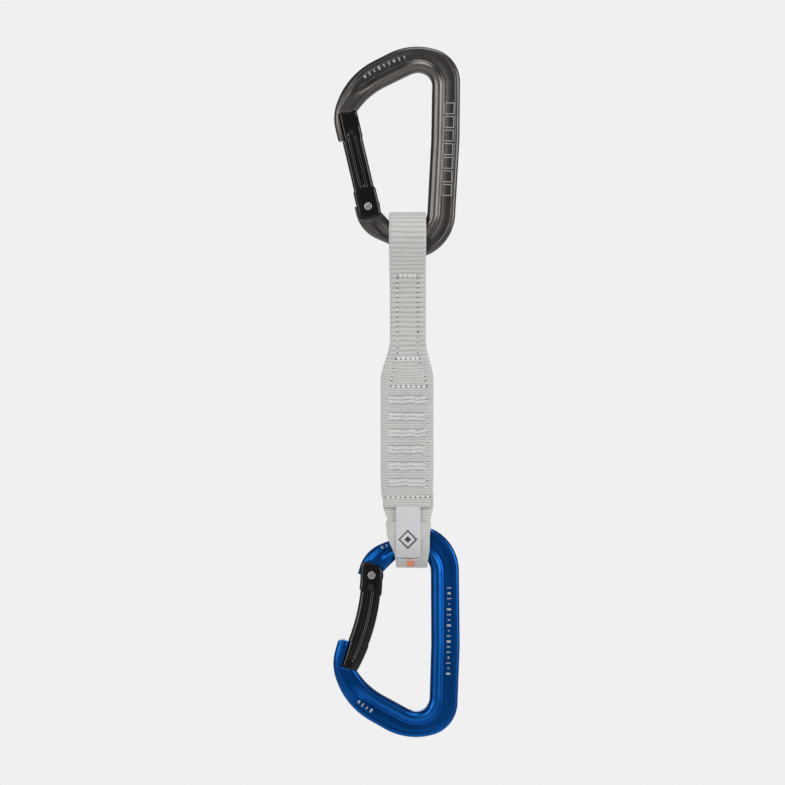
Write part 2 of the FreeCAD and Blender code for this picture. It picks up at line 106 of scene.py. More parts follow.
def smoothstep(low, high, value):
    t = min(1.0, max(0.0, (value - low) / (high - low)))
    return t * t * (3 - 2 * t)


def rounded_outline(corners, step, turn_step):
    """Places and outward normals along a closed outline of (x, z, radius) corners."""
    arcs = []
    for i, (x, z, radius) in enumerate(corners):
        here = Vector((x, z))
        back = (Vector(corners[i - 1][:2]) - here).normalized()
        ahead = (Vector(corners[(i + 1) % len(corners)][:2]) - here).normalized()
        half = back.angle(ahead) / 2
        run = radius / math.tan(half)
        centre = here + (back + ahead).normalized() * (radius / math.sin(half))
        arcs.append((here + back * run, centre, here + ahead * run))
    places = []
    for i, (start, centre, end) in enumerate(arcs):
        leave, last = arcs[i - 1][2], arcs[i - 1][1]
        count = max(1, round((start - leave).length / step))
        for k in range(count):
            places.append((leave.lerp(start, k / count), (leave - last).normalized()))
        first, final = start - centre, end - centre
        turn = math.atan2(first.x * final.y - first.y * final.x, first.dot(final))
        count = max(2, math.ceil(max(abs(turn) / math.radians(turn_step), abs(turn) * first.length / step)))
        for k in range(count):
            spoke = Matrix.Rotation(turn * k / count, 2) @ first
            places.append((centre + spoke, spoke.normalized()))
    return places


def reach_across(place, normal, outline):
    """How far a ray from place goes before it meets a closed outline."""
    best = 1e9
    for i, (b, _) in enumerate(outline):
        a = outline[i - 1][0]
        run = b - a
        bottom = normal.x * run.y - normal.y * run.x
        if abs(bottom) < 1e-12:
            continue
        gap = a - place
        t = (gap.x * run.y - gap.y * run.x) / bottom
        s = (gap.x * normal.y - gap.y * normal.x) / bottom
        if t > 0 and -1e-9 <= s <= 1 + 1e-9:
            best = min(best, t)
    return best


def wrapped(rows, ring=False, caps=False, closed=True):
    """A grid laid over rows of points, each row going once round a section."""
    across, along = len(rows[0]) + closed, len(rows) + ring
    bm = bmesh.new()
    bmesh.ops.create_grid(bm, x_segments=across - 1, y_segments=along - 1, size=1)
    bm.verts.ensure_lookup_table()
    girth, length = [0.0], [0.0]
    for k in range(1, across):
        girth.append(girth[-1] + (Vector(rows[0][k % len(rows[0])]) - Vector(rows[0][k - 1])).length)
    for k in range(1, along):
        length.append(length[-1] + (Vector(rows[k % len(rows)][0]) - Vector(rows[k - 1][0])).length)
    for i, vert in enumerate(bm.verts):
        vert.co = rows[(i // across) % len(rows)][(i % across) % len(rows[0])]
    uv = bm.loops.layers.uv.new("UVMap")
    for face in bm.faces:
        for loop in face.loops:
            i = loop.vert.index
            loop[uv].uv = (girth[i % across], length[i // across])
    bmesh.ops.remove_doubles(bm, verts=bm.verts, dist=1e-7)
    if caps:
        bmesh.ops.holes_fill(bm, edges=[e for e in bm.edges if e.is_boundary], sides=0)
    bmesh.ops.recalc_face_normals(bm, faces=bm.faces)
    return bm


def piece(name, bm, material=None, sharp=None):
    """A smooth-shaded piece at the origin, with edges past an angle left sharp."""
    for face in bm.faces:
        face.smooth = True
    if sharp:
        for edge in bm.edges:
            if len(edge.link_faces) == 2 and edge.calc_face_angle(0) > math.radians(sharp):
                edge.smooth = False
    mesh = bpy.data.meshes.new(name)
    bm.to_mesh(mesh)
    bm.free()
    obj = bpy.data.objects.new(name, mesh)
    bpy.context.collection.objects.link(obj)
    if material:
        mesh.materials.append(material)
    return obj


def carve(obj, tool, operation):
    """Joins or cuts one mesh with another, and removes the other."""
    change = obj.modifiers.new("carve", "BOOLEAN")
    change.object, change.operation, change.solver = tool, operation, "EXACT"
    done = bpy.data.meshes.new_from_object(obj.evaluated_get(bpy.context.evaluated_depsgraph_get()))
    obj.modifiers.clear()
    obj.data = done
    bpy.data.objects.remove(tool)
    return obj


outer_line = rounded_outline(OUTER, 0.35, 2.0)
inner_line = rounded_outline(INNER, 0.9, 3.0)
rows = []
for place, normal in inner_line:
    width = reach_across(place, normal, outer_line)
    middle = place + normal * width / 2
    plain = max(1 - smoothstep(8.0, 20.0, (middle - NOSE_END).length),
                1 - smoothstep(7.0, 16.5, (middle - PIVOT).length))
    squeeze = min(1.0, (width - 2.6) / 7.2)
    section = [(d * squeeze, y + (p - y) * plain) for d, y, p in BEAD]
    edge = [(width - d * min(1.0, squeeze * 1.4), y + (p - y) * plain) for d, y, p in RIM]
    for k in range(1, WEB_POINTS + 1):
        share = k / (WEB_POINTS + 1)
        section.append((section[len(BEAD) - 1][0] * (1 - share) + edge[0][0] * share,
                        section[len(BEAD) - 1][1] * (1 - share) + edge[0][1] * share
                        + WEB_CROWN * math.sin(math.pi * share)))
    section += edge
    front = [(place + normal * d, -y) for d, y in section]
    back = [(place + normal * d, y) for d, y in section[-2:0:-1]]
    rows.append([MM * Vector((p.x, y, p.y)) for p, y in front + back])
forging = wrapped(rows, ring=True)


def window(grow):
    """The gate's window in the body, in the gate's own frame, let out by grow."""
    reach = GATE_LENGTH + NOSE_GAP + grow
    left, right = -16.5 - grow, 14.5 + grow
    line = [Vector((left, 0, 1.2 - grow)), Vector((-grow, 0, 1.2 - grow)),
            Vector((-grow, 0, -0.4 - grow)), Vector((right, 0, -0.4 - grow))]
    start, stop = math.acos(right / reach), math.acos(left / reach)
    line += [Vector((reach * math.cos(a), 0, reach * math.sin(a)))
             for a in (start + (stop - start) * k / 60 for k in range(61))]
    return line


def drum(radii, reach, side, segments):
    """A round solid out along Y on one side, or straight up where side is 0."""
    middle = (reach[0] + reach[1]) / 2 * MM
    bm = bmesh.new()
    bmesh.ops.create_cone(bm, cap_ends=True, segments=segments, radius1=radii[0] * MM,
                          radius2=radii[1] * MM, depth=(reach[1] - reach[0]) * MM)
    bmesh.ops.rotate(bm, verts=bm.verts, matrix=Matrix.Rotation(-side * math.pi / 2, 3, "X"))
    bmesh.ops.translate(bm, verts=bm.verts, vec=(0, side * middle, 0 if side else middle))
    return bm


def merged(mesh):
    """A mesh to work on, with its doubled points merged."""
    bm = bmesh.new()
    bm.from_mesh(mesh)
    bmesh.ops.remove_doubles(bm, verts=bm.verts, dist=2e-6)
    return bm


def milled_body(hood):
    """The forging with its gate window, pocket, tongue, tang and rivet hole.

    hood is where the nose's full-thickness outer wall ends beside the gate."""
    body = piece("forging", forging.copy())
    walls = [(-CUT_HALF, MOUTH_FLARE), (-MOUTH_HALF, 0.0), (MOUTH_HALF, 0.0), (CUT_HALF, MOUTH_FLARE)]
    cutter = piece("window_cutter", wrapped(
        [[MM * (p + Vector((0, y, 0))) for p in window(grow)] for y, grow in walls], caps=True))
    for side in (-1, 1):
        for radii, depth in (((POCKET_R, POCKET_R), (TANG_HALF, MOUTH_HALF)),
                             ((POCKET_R, POCKET_R + 2.75), (MOUTH_HALF - 0.05, CUT_HALF - 0.05))):
            carve(cutter, piece("pocket", drum(radii, depth, side, 96)), "UNION")
    tip = GATE_LENGTH + NOSE_GAP - TONGUE_LENGTH
    width = hood - NOSE_OUT
    outer = width * 0.52
    quarter = [math.pi / 2 * k / 12 for k in range(13)]
    for half, inner, inward in ((TANG_HALF, 0.8, 2.2), (6.0, hood, width * 0.46)):
        line = [(inner, 60.0), (-20.0, 60.0), (-20.0, tip + 9.0), (NOSE_OUT - 0.6, tip + 6.0)]
        line += [(NOSE_OUT + outer - outer * math.cos(a), tip + outer - outer * math.sin(a)) for a in quarter]
        line += [(inner - inward + inward * math.sin(a), tip + inward - inward * math.cos(a))
                 for a in quarter]
        layers = ((-half, 0.4), (0.4 - half, 0.0), (half - 0.4, 0.0), (half, 0.4))
        carve(cutter, piece("tongue", wrapped(
            [[MM * Vector((x - (x > inner - 0.01) * inset, y, z + (z < tip + 0.01) * inset)) for x, z in line]
             for y, inset in layers], caps=True)), "DIFFERENCE")
    bm = drum((TANG_HEAD_R, TANG_HEAD_R), (-TANG_HALF, TANG_HALF), -1, 96)
    bmesh.ops.translate(bm, verts=bm.verts, vec=(1.5 * MM, 0, 0))
    head = piece("tang_head", bm.copy())
    carve(cutter, piece("tang_space", bm), "DIFFERENCE")
    hole = piece("rivet_hole", drum((1.55, 1.55), (-10.0, 10.0), -1, 48))
    for tool, operation in ((cutter, "DIFFERENCE"), (head, "UNION"), (hole, "DIFFERENCE")):
        tool.data.transform(gate_frame)
        carve(body, tool, operation)
    bm = merged(body.data)
    bpy.data.objects.remove(body)
    return bm


class Value:
    """A shader socket, so that an expression on values adds its Math nodes."""

    def __init__(self, finish, socket):
        self.finish, self.socket = finish, socket

    def maths(self, operation, *terms):
        return self.finish.node("ShaderNodeMath", {"operation": operation}, dict(enumerate(terms)))

    def __add__(self, other):
        return self.maths("ADD", self, other)

    def __sub__(self, other):
        return self.maths("SUBTRACT", self, other)

    def __rsub__(self, other):
        return self.maths("SUBTRACT", other, self)

    def __mul__(self, other):
        return self.maths("MULTIPLY", self, other)

    def sine(self):
        return self.maths("SINE", self)

    __radd__, __rmul__ = __add__, __mul__


class Finish:
    """One material: constants go on the shader, and values feed its varying inputs."""

    def __init__(self, name, **shader):
        self.material = bpy.data.materials.new(name)
        self.material.use_nodes = True
        self.tree = self.material.node_tree
        self.shader = self.tree.nodes["Principled BSDF"]
        for key, value in shader.items():
            self.shader.inputs[key.replace("_", " ")].default_value = value

    def node(self, kind, settings=None, sockets=None, output=0):
        node = self.tree.nodes.new(kind)
        for key, value in (settings or {}).items():
            setattr(node, key, value)
        for key, value in (sockets or {}).items():
            if isinstance(value, Value):
                self.tree.links.new(value.socket, node.inputs[key])
            else:
                node.inputs[key].default_value = value
        return Value(self, node.outputs[output])

    def feed(self, key, value):
        self.tree.links.new(value.socket, self.shader.inputs[key])

    def grain(self, scale, detail=3.0):
        """Noise of so many grains a metre on the piece's own coordinates."""
        spot = self.node("ShaderNodeTexCoord", output="Object")
        return self.node("ShaderNodeTexNoise", {}, {"Vector": spot, "Scale": scale, "Detail": detail})

    def weave(self):
        """The piece's own map, across and along the cloth, in metres."""
        chart = self.node("ShaderNodeUVMap", {"uv_map": "UVMap"})
        across = self.node("ShaderNodeSeparateXYZ", {}, {0: chart})
        return across, Value(self, across.socket.node.outputs[1])

    def tints(self, share, first, second):
        """Base colour, from the first to the second."""
        colours = {0: share, 6: (*first, 1), 7: (*second, 1)}
        self.feed("Base Color", self.node("ShaderNodeMix", {"data_type": "RGBA"}, colours, output=2))

    def bumps(self, strength, depth, height):
        sockets = {"Strength": strength, "Distance": depth, "Height": height}
        self.feed("Normal", self.node("ShaderNodeBump", {}, sockets))


def anodised(name, deep, light, roughness):
    """Satin anodised forging: tumbled skin, faint mottling, polished ridges whose lighter base colour is a
    painted highlight.
    """
    finish = Finish(name, Metallic=1.0)
    polish_and_highlight = finish.node("ShaderNodeAttribute", {"attribute_name": "ridge_polish_highlight"}, output="Fac")
    mottle = finish.grain(70.0, 2.0)
    # The ridge mask lightens the base colour: a painted highlight on the bead's crown, the rim and sharp
    # edges, along with their polish.
    share = polish_and_highlight * 0.34 + mottle * 0.26
    finish.tints(share, deep, light)
    tumble = finish.grain(1500.0, 4.0)
    finish.feed("Roughness", roughness + tumble * 0.10 - polish_and_highlight * 0.03)
    finish.bumps(0.05, 0.00008, tumble + mottle * 2.0)
    return finish.material


def mark_polish_and_highlight(mesh):
    """How polished each point is, and how far a painted highlight lightens its colour: the bead's crown, the
    rim, the outer corners.
    """
    bm = bmesh.new()
    bm.from_mesh(mesh)
    layer = bm.verts.layers.float.new("ridge_polish_highlight")
    for vert in bm.verts:
        height = abs(vert.co.y) / MM
        # Painted highlight, along with polish: first the bead's crown, then every sharp edge.
        vert[layer] = smoothstep(4.55, 5.0, height) * 0.8
        bends = [e.calc_face_angle(0) for e in vert.link_edges if len(e.link_faces) == 2]
        if bends and max(bends) > math.radians(28):
            vert[layer] = max(vert[layer], 0.55)
    bm.to_mesh(mesh)
    bm.free()


grey = anodised("grey_anodised_forging", (0.056, 0.052, 0.049), (0.42, 0.39, 0.37), 0.28)
blue = anodised("blue_anodised_forging", (0.003, 0.056, 0.26), (0.018, 0.22, 0.68), 0.28)
HOODS = {"top": -4.0, "bottom": -1.9}
frames = {"top": upper_frame, "bottom": lower_frame}
skins = {}
for side, finish, colour in (("top", grey, "grey_anodised"), ("bottom", blue, "blue_anodised")):
    shape = milled_body(HOODS[side])
    skins[side] = BVHTree.FromBMesh(shape)
    body = piece(side + "_forged_body", shape, finish, sharp=28)
    mark_polish_and_highlight(body.data)
    body.data.transform(frames[side])
    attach(body, side + "_carabiner")
    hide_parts(side + "_carabiner")

# Pale etched marks on one face of each body: plain cells, dashes and ticks,
# burnt into the anodising by laser.
etch = Finish("etched_mark", Metallic=0.7)
etch_grain = etch.grain(2600.0, 3.0)
etch.tints(etch_grain, (0.42, 0.41, 0.40), (0.66, 0.65, 0.64))
etch.feed("Roughness", 0.42 + etch_grain * 0.2)
MARK_THICK = 0.06
STROKE = 0.30
CELL_HALF = 2.2
DASHES = (1.9, 1.2, 1.9, 0.7, 1.9, 1.6, 1.9, 1.9, 0.9, 1.9, 1.3, 1.9, 1.9, 0.7, 1.9, 1.5, 1.9)
ARM_MARKS = {"top": [((-26.2, -3.5), (-8.0, 6.5), 9)],
             "bottom": [((-27.8, -4.9), (-22.0, -0.7), 4), ((-16.8, -78.0), (-12.6, -79.8), 3)]}


def etched(bm, tree, x, z, wide, high, turn, face):
    """One etched stroke laid on a body's face, in the body's own frame."""
    spot, slope, _, _ = tree.ray_cast(MM * Vector((x, face * 20, z)), Vector((0, -face, 0)))
    tilt = Vector((0, face, 0)).rotation_difference(slope).to_matrix().to_4x4()
    bmesh.ops.create_cube(bm, size=MM, matrix=Matrix.Translation(spot) @ tilt @ Matrix.Rotation(turn, 4, "Y")
                          @ Matrix.Diagonal((wide, MARK_THICK, high, 1)))


def web_line(share):
    """Middle of the spine's flat web, from its top to its foot."""
    return Vector((14.35 + 0.7 * share, -6.0 - 58.0 * share))


for side, face in (("top", -1), ("bottom", 1)):
    tree = skins[side]
    bm = bmesh.new()
    if side == "top":
        for k in range(7):
            low, high = web_line((k + 1.25) / 9.0), web_line((k + 2.05) / 9.0)
            middle, slope = (low + high) / 2, math.atan2((high - low).x, -(high - low).y)
            length = (high - low).length
            for shift in (-CELL_HALF, CELL_HALF):
                etched(bm, tree, middle.x + shift, middle.y, STROKE, length, -slope, face)
            for end in (low, high):
                etched(bm, tree, end.x, end.y, 2 * CELL_HALF + STROKE, STROKE, -slope, face)
    else:
        for k, size in enumerate(DASHES):
            spot = web_line((k * 0.46 + 2.2) / 10.5)
            etched(bm, tree, spot.x, spot.y, size, 0.42 if k % 3 else 0.95, 0.0, face)
    for first, last, count in ARM_MARKS[side]:
        run = Vector(last) - Vector(first)
        turn = -math.atan2(run.y, run.x)
        for k in range(count):
            share = k / (count - 1)
            spot = Vector(first) + run * share + Vector((-run.y, run.x)) * 0.16 * share * (1 - share)
            etched(bm, tree, spot.x, spot.y, 0.5 if k % 3 else 0.9, 1.9 if k % 2 else 1.4, turn, face)
    marks = piece(side + "_etched_marks", bm, etch.material, sharp=30)
    marks.data.transform(frames[side])
    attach(marks, side + "_carabiner")

# ------------------------------------------------------------------ gates
# Two aluminium bars, anodised black: the upper one straight, the lower one
# bent inwards. Each is slotted over the nose tongue and the pivot tang, and
# has a long milled recess in both faces.
black = Finish("black_anodised_gate", Metallic=0.0, Specular_IOR_Level=0.42)
skin = black.grain(2200.0, 3.0)
black.tints(black.grain(120.0, 2.0), (0.0006, 0.0006, 0.0007), (0.003, 0.0028, 0.0028))
black.feed("Roughness", 0.13 + skin * 0.07)
black.bumps(0.05, 0.00006, skin)
GATE_HALF = 4.5
FOOT = 5.3
FOOT_ROUND = 2.4
TOP_ROUND = 0.8
CORNER = 1.5
LIP = 0.5
SLICE = 0.42                # height of one slice of the bar
BAR_HALF = 4.85
BOW = 3.2
BOW_END = 0.8


def gate_middle(z, bent):
    """Where the bar's middle line lies at a height along the gate."""
    if not bent:
        return 0.0
    share, peak = z / GATE_LENGTH, 0.52
    start = (BOW - BOW_END * peak * peak) / (peak - peak * peak)
    return start * share + (BOW_END - start) * share * share if z > 0 else start * share


def rounding(radius, depth):
    """How far a rounded edge stands back at a depth in from its end."""
    return radius - math.sqrt(max(0.0, radius ** 2 - (radius - depth) ** 2)) if depth < radius else 0.0


def gate_sides(z, bent, hood):
    """Outer and inner edges of the bar at a height along the gate."""
    middle = gate_middle(z, bent)
    shoulder = 1 - smoothstep(7.6, 8.8, z)
    ears = smoothstep(32.2, 33.2, z)
    half = BAR_HALF + 0.6 * shoulder + 0.35 * ears
    round_off = rounding(FOOT_ROUND, z + FOOT) + rounding(TOP_ROUND, GATE_LENGTH - z)
    left, right = middle - half + round_off, middle + half - round_off
    if z > 32.2:
        left = left + (max(left, hood + 0.2 + round_off) - left) * ears
    return left, right


def gate_face(x, z, bent):
    """How far the milled recess takes the bar's face down."""
    off = abs(x - gate_middle(z, bent))
    if bent:
        run = smoothstep(3.8, 7.5, z) * (1 - smoothstep(38.5, 43.0, z))
        return 0.95 * run * (1 - smoothstep(0.2, 1.7, off)) + 0.7 * smoothstep(1.6, 4.8, off)
    ends = smoothstep(9.4, 10.6, z + off * off * 0.16) * (1 - smoothstep(34.6, 37.8, z + off * 0.7))
    recess = 1.05 * ends * (1 - smoothstep(0.9, 2.1, off)) + 0.35 * smoothstep(2.2, 4.8, off)
    return recess + 0.7 * smoothstep(37.0, 44.5, z) * smoothstep(-0.5, 3.6, x)


for side in ("top", "bottom"):
    bent = side == "bottom"
    start, stop = -FOOT + FOOT_ROUND, GATE_LENGTH - TOP_ROUND
    heights = [start - FOOT_ROUND * math.sin(math.pi / 2 * (1 - k / 8)) for k in range(8)]
    heights += [start + k * SLICE for k in range(int((stop - start) / SLICE) + 1)]
    heights += [stop + TOP_ROUND * math.sin(math.pi / 2 * k / 4) for k in range(5)]
    rows = []
    for z in heights:
        left, right = gate_sides(z, bent, HOODS[side])
        lip = rounding(LIP, min(z + FOOT, GATE_LENGTH - z))
        row = []
        for face in (-1, 1):
            shares = [k / 44 for k in range(45)]
            if face > 0:
                shares.reverse()
            for share in shares:
                x = left + (right - left) * share
                corner = rounding(CORNER, min(x - left, right - x))
                y = GATE_HALF - corner - lip - gate_face(x, z, bent)
                row.append(MM * Vector((x, face * y, z)))
        rows.append(row)
    bar = piece(side + "_gate_bar", wrapped(rows, caps=True))
    slot_half = TANG_HALF + 0.2
    nose_slot = GATE_LENGTH + NOSE_GAP - TONGUE_LENGTH - 0.6
    for low, high, z0, z1 in ((-30, 30, -30, 6.7), (-30, 1.2, nose_slot, 60)):
        bm = bmesh.new()
        bmesh.ops.create_cube(bm, size=1, matrix=Matrix.Translation(
            MM * Vector(((low + high) / 2, 0, (z0 + z1) / 2))) @ Matrix.Diagonal(
            (MM * (high - low), MM * 2 * slot_half, MM * (z1 - z0), 1)))
        carve(bar, piece("slot", bm), "DIFFERENCE")
    for radius, reach, out in ((1.5, (-8.0, 8.0), -1), (1.65, (6.3, 20.0), 0)):
        carve(bar, piece("bore", drum((radius, radius), reach, out, 40)), "DIFFERENCE")
    bm = merged(bar.data)
    bpy.data.objects.remove(bar)
    bar = piece(side + "_gate_bar", bm, black.material, sharp=34)
    bar.data.transform(frames[side] @ gate_frame)
    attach(bar, side + "_gate")
    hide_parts(side + "_gate")

# ------------------------------------------- rivets, pushers and springs
# A stainless rivet is the gate's hinge pin. Behind it a pusher and a steel
# spring sit in the gate's bore and shut the gate.
steel = Finish("stainless_steel", Metallic=1.0)
turned = steel.grain(1600.0, 3.0)
steel.tints(turned, (0.52, 0.51, 0.50), (0.74, 0.73, 0.72))
steel.feed("Roughness", 0.20 + turned * 0.15)
steel.bumps(0.1, 0.00005, turned)


def softened(name, node, material):
    """A copy of a turned node with its facets merged, for smooth shading."""
    return piece(name, merged(frame["nodes"][node].data), material, sharp=34)


for side in ("top", "bottom"):
    pin = softened(side + "_rivet_pin", side + "_rivet", steel.material)
    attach(pin, side + "_gate")
    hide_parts(side + "_rivet")
    coil = softened(side + "_coil_spring", side + "_gate_spring", steel.material)
    slide = hinges[side + "_pusher_slide"]
    along = Vector(slide["axis"])
    reach = [vert.co.dot(along) for vert in coil.data.vertices]
    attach(coil, side + "_gate")
    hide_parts(side + "_gate_spring")
    along * max(reach)
    1 - slide["range_m"][1] / (max(reach) - min(reach))
    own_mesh(coil)
    pusher = frame["nodes"][side + "_pusher"].data
    pusher.materials.clear()
    pusher.materials.append(steel.material)


# ---------------------------------------------------------- sling webbing
# One length of ribbed polyamide webbing, pale grey, folded over the upper
# carabiner and sewn flat into the neck. It widens into the grip, where a
# stiffening core is sewn between its two plies.
SLING_X = -6.3
PLY = 2.2
LOOP_WIDTH = 17.4
GRIP_WIDTH = 24.9
RIB_PITCH = 2.36
GRIP_RIB_PITCH = 1.30
loop_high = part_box("upper_loop_webbing")[1]
LOOP_TOP = loop_high.z / MM
LOOP_OUT = loop_high.y / MM
TWIST_Z = hinges["sling_twist"]["pos_m"][2] / MM
FLEX_Z = hinges["sling_flex"]["pos_m"][2] / MM
HEM_HINGE_Z = hinges["hem_flex"]["pos_m"][2] / MM
HEM_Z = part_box("grip_front_webbing")[0].z / MM
NECK_SPLIT = TWIST_Z - 10.0
THROAT_Z = -93.6
BLEND_HALF = 5.0

web = Finish("ribbed_webbing", Roughness=0.85, Sheen_Weight=0.25, Sheen_Roughness=0.5,
             Specular_IOR_Level=0.25)
web_across, web_along = web.weave()
warp = (web_across * (2 * math.pi / 0.00052)).sine()
weft = (web_along * (2 * math.pi / 0.00078)).sine()
cross = (web_across * (2 * math.pi / 0.00104)).sine()
valley_shade = web.node("ShaderNodeAttribute", {"attribute_name": "valley_shade"}, output="Fac")
patches = web.grain(260.0, 3.0)
flecks = web.grain(2600.0, 2.0)
# The valley attribute is painted shade in the rib grooves and seams; patches, flecks and warp are the cloth's
# own tone.
shade_and_mottle = valley_shade * 0.42 + patches * 0.26 + flecks * 0.20 + (warp * 0.05 + 0.02)
web.tints(shade_and_mottle, (0.685, 0.69, 0.665), (0.33, 0.335, 0.32))
web.bumps(0.55, 0.00012, warp * 0.35 + weft * cross * 0.4 + flecks * 0.8)


def waver(x, y, z):
    """Smooth noise round zero."""
    return noise.noise(Vector((x, y, z)))


def eased(points, step, times):
    """An open path resampled at an even step, with its corners eased."""
    points = [Vector(p) for p in points]
    even, spare = [points[0]], 0.0
    for a, b in zip(points, points[1:]):
        run = (b - a).length
        at = step - spare
        while at <= run:
            even.append(a.lerp(b, at / run))
            at += step
        spare = run - (at - step)
    if (even[-1] - points[-1]).length > step * 0.3:
        even.append(points[-1])
    for _ in range(times):
        even = [even[0]] + [(a + 2 * b + c) / 4 for a, b, c in zip(even, even[1:], even[2:])] + [even[-1]]
    return even


def ribless(travelled, spot, x):
    """No ribs."""
    return 0.0, 0.0


def unsewn(x, spot, face):
    """No seam that draws the face in."""
    return 0.0


def tape(path, thick, edges, pull, ribs, across=30):
    """Rows for wrapped(), and the painted shade of each of their points, darker deep in a groove or seam.

    The path is (y, z) places down the middle of a ply's thickness. edges gives
    its left and right edges, pull how far its face is drawn in, and ribs the
    rib phase with its depth."""
    ends = [math.cos(math.pi * k / 6) for k in range(1, 6)]
    section = [(k / across, 1) for k in range(across + 1)] + [(1.0, face) for face in ends]
    section += [(1 - k / (across // 2), -1) for k in range(across // 2 + 1)]
    section += [(0.0, -face) for face in ends]
    rows, shades = [], []
    travelled = 0.0
    for i, spot in enumerate(path):
        a, b = path[max(0, i - 1)], path[min(len(path) - 1, i + 1)]
        along = (b - a).normalized()
        normal = Vector((-along.y, along.x))
        if i:
            travelled += (spot - path[i - 1]).length
        left, right = edges(travelled, spot)
        row, row_shade = [], []
        for share, face in section:
            x = left + 0.6 + (right - left - 1.2) * share
            edge = min(x - left, right - x)
            bulge = math.sqrt(max(0.0, 1 - face * face)) * thick * 0.32
            x += bulge if share > 0.5 else -bulge
            soft = smoothstep(-0.2, 1.1, edge)
            phase, depth = ribs(travelled, spot, x)
            wave = 0.5 - 0.5 * math.cos(2 * math.pi * phase)
            groove = (1 - wave) ** 3.0
            drawn = pull(x, spot, face)
            sink = depth * groove * (0.35 + 0.65 * soft) + drawn + 0.35 * (1 - soft) * abs(face)
            wobble = 0.05 * waver(x * 0.9, travelled * 0.9, face)
            reach = face * (thick / 2 - sink + wobble)
            row.append(Vector((x, *(spot + normal * reach))) * MM)
            # Painted shade: darker in a rib's groove and where a seam draws the face in.
            row_shade.append(groove * (0.4 + 0.6 * soft) + drawn * 0.9)
        rows.append(row)
        shades.append(row_shade)
    return rows, shades


def web_piece(name, rows, shades, start, end):
    """A webbing piece, its mesh baked in place."""
    obj = piece(name, wrapped(rows, caps=True), web.material)
    # Each point keeps its painted groove and seam shade for the material.
    valley_shades = {tuple(round(c, 7) for c in p): value
              for row, row_shade in zip(rows, shades) for p, value in zip(row, row_shade)}
    layer = obj.data.attributes.new("valley_shade", "FLOAT", "POINT")
    for i, vert in enumerate(obj.data.vertices):
        layer.data[i].value = valley_shades.get(tuple(round(c, 7) for c in vert.co), 0.0)
    start * MM
    end * MM
    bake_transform(obj)
    return obj


# Seams: long seams in the neck, cross rows at both of its ends, diagonals
# where the sling widens, the grip's edge seam and the hem's row.
NECK_SEAMS = (-11.0, -1.3)
ROW_TOP, ROW_NECK, ROW_GRIP, ROW_HEM = -96.4, -135.8, -149.1, -201.8
EDGE_SEAM_X = 3.1
CROSS_ROWS = ((ROW_TOP, -10.5, -1.6), (ROW_NECK, -11.5, -0.6), (ROW_GRIP, -14.4, 3.1),
              (ROW_HEM, -16.8, 4.5))
TACKS = [-155.5 - 7.84 * k for k in range(6)]
TACK_X = (-15.0, 2.4)
TACK_STITCHES = 19


def seam_pull(x, spot, face):
    """How deep the stitching draws the webbing's face in, in mm."""
    if face == 0:
        return 0.0
    z, pull = spot.y, 0.0
    if -133.0 < z < -96.0:
        pull = max(math.exp(-((x - s) / 0.55) ** 2) for s in NECK_SEAMS) * 0.22
    for row, low, high in CROSS_ROWS:
        if low < x < high:
            pull = max(pull, 0.25 * math.exp(-((z - row) / 0.6) ** 2))
    if -201.0 < z < -148.0:
        pull = max(pull, 0.30 * math.exp(-((x - EDGE_SEAM_X) / 0.6) ** 2))
        if TACK_X[0] < x < TACK_X[1]:
            pull = max(pull, max(0.30 * math.exp(-(abs(z - t) / 1.9) ** 4) for t in TACKS))
    if -149.0 < z < -137.5:
        share = (-138.0 - z) / 10.5
        for start, end in ((-12.4, -14.2), (-0.1, 3.1)):
            pull = max(pull, 0.26 * math.exp(-((x - start - (end - start) * share) / 0.55) ** 2))
    return pull * abs(face)


def sling_edges(travelled, spot):
    """Left and right edges of the sling at a height."""
    z = spot.y
    share = smoothstep(0.0, 1.0, (-127.0 - z) / 19.5)
    draw = 0.45 * smoothstep(0.0, 1.0, (-78.0 - z) / 30.0) * (1 - share)
    hem = 0.5 * smoothstep(0.0, 1.0, (-190.0 - z) / 15.0)
    tuck = smoothstep(0.0, 1.0, (-199.5 - z) / 6.0)
    slack = 0.10 * waver(0.0, z * 0.35, 3.0)
    half = LOOP_WIDTH / 2 + (GRIP_WIDTH - LOOP_WIDTH) / 2 * share - draw * 0.5 - hem
    drift = 0.1 + 0.5 * draw - 0.2 * share
    return SLING_X + drift - half + slack + 0.9 * tuck, SLING_X + drift + half + slack * 0.5 - 0.9 * tuck


def loop_ribs(travelled, spot, x):
    """Even ribs, a little uneven from edge to edge."""
    drift = 0.16 * waver(x * 0.12, travelled * 0.10, 1.0) + 0.04 * waver(x * 0.8, travelled * 0.4, 5.0)
    depth = 0.26 + 0.08 * waver(x * 0.2, travelled * 0.3, 9.0)
    return travelled / RIB_PITCH + drift, depth


def grip_ribs(travelled, spot, x):
    """Ribs that close up and fan out where the sling widens."""
    z = spot.y
    share = smoothstep(0.0, 1.0, (-131.0 - z) / 14.0)
    run, closer = max(0.0, -z - 131.0), 1 / GRIP_RIB_PITCH - 1 / RIB_PITCH
    extra = run * closer * (run / 28.0) if run < 28.0 else (run - 14.0) * closer
    fan = 0.55 * share * (1 - smoothstep(0.0, 1.0, (-143.0 - z) / 12.0)) * ((x - SLING_X) / 9.0) ** 2
    drift = 0.15 * waver(x * 0.15, z * 0.12, 2.0) + 0.05 * waver(x * 0.8, z * 0.5, 6.0)
    depth = 0.25 - 0.07 * share + 0.09 * waver(x * 0.25, z * 0.4, 8.0)
    return -z / RIB_PITCH + extra + fan + drift, depth


